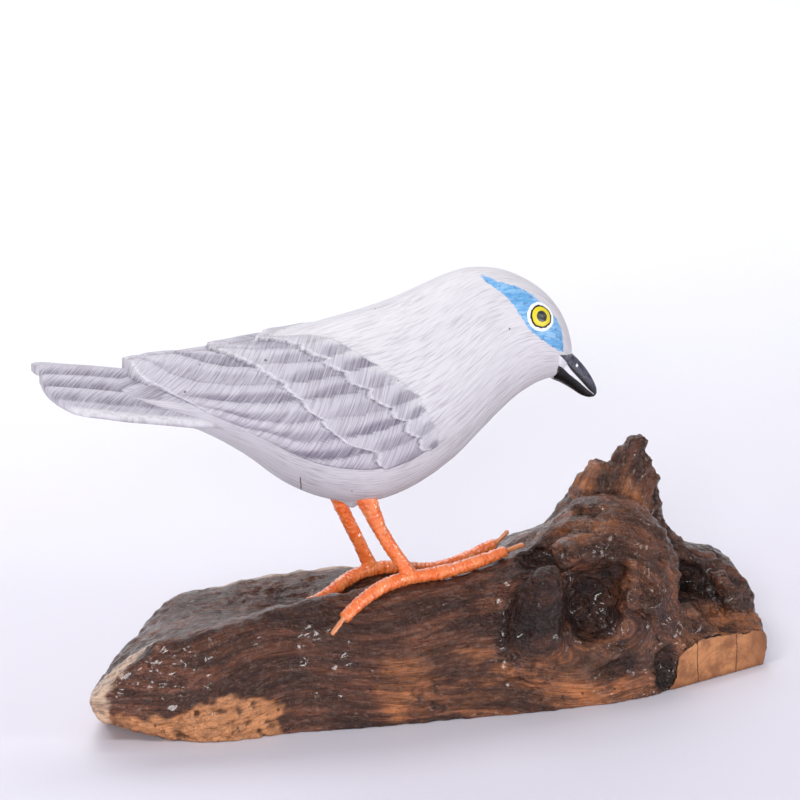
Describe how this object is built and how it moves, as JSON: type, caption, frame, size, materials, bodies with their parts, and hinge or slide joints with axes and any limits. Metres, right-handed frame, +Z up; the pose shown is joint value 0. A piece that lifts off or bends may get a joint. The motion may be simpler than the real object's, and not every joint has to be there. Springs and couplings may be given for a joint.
{
  "type": "wooden bird carving",
  "caption": "Carved and painted wooden bird with folded wings, standing on two legs on a lying piece of varnished driftwood.",
  "frame": {"origin": "on the flat underside of the driftwood, below the bird's feet, on the bird's centre plane", "axes": "+X towards the bird's bill, +Y towards its left side, +Z up"},
  "size_m": [0.254, 0.0834, 0.1453],
  "materials": {
    "white_paint": "thin white and grey paint over knife-cut wood, satin",
    "orange_paint": "glossy orange paint over wrapped wire",
    "varnished_driftwood": "dark weathered root wood under glossy varnish"
  },
  "bodies": {
    "root": {"bird": "white_paint", "right_leg": "orange_paint", "left_leg": "orange_paint", "driftwood_base": "varnished_driftwood"}
  },
  "joints": []
}
